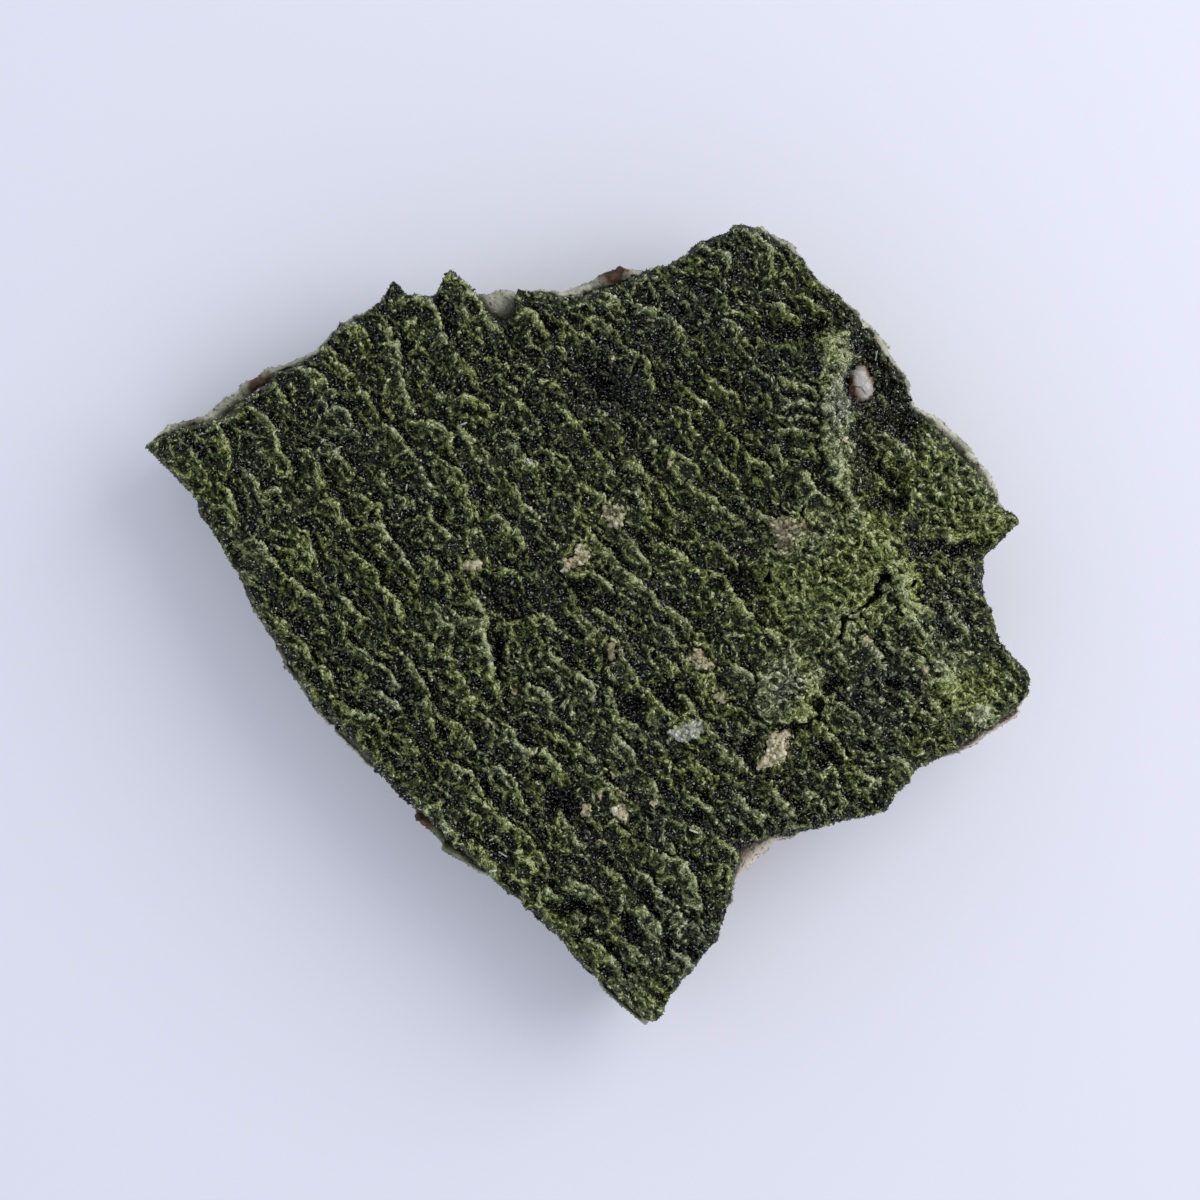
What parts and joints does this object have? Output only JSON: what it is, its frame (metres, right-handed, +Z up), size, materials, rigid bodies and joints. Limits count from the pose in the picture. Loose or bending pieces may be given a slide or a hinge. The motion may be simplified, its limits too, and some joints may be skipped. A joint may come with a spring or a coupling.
{
  "type": "epidote cluster",
  "caption": "Mineral specimen: a dark green druse of ridged epidote blades on a broken slab of pale rock, with small pale feldspar and quartz crystals seated in it.",
  "frame": {"origin": "middle of the footprint, on the flat broken face that the slab rests on", "axes": "+Z up through the crystal face, +X along the long way of the slab towards its right tip, +Y towards the top edge of the pictured face"},
  "size_m": [0.1344, 0.1206, 0.0339],
  "materials": {
    "host_rock": "rough broken altered rock, pale grey-green with rust and pinkish white patches",
    "epidote": "fine green crystal druse on the crests, black-green and glossy in the pits",
    "quartz": "glassy to milky crystal",
    "feldspar": "pale cream crystal with a pearly lustre"
  },
  "bodies": {
    "root": {"host_rock": "host_rock", "epidote_crust": "epidote", "quartz_crystal": "quartz", "quartz_shard": "quartz", "feldspar_crystal_large": "feldspar", "feldspar_crystal_hump": "feldspar", "feldspar_crystal_north": "feldspar", "feldspar_crystal_middle": "feldspar", "feldspar_crystal_west": "feldspar", "feldspar_crystal_east": "feldspar", "feldspar_crystal_south": "feldspar"}
  },
  "joints": []
}
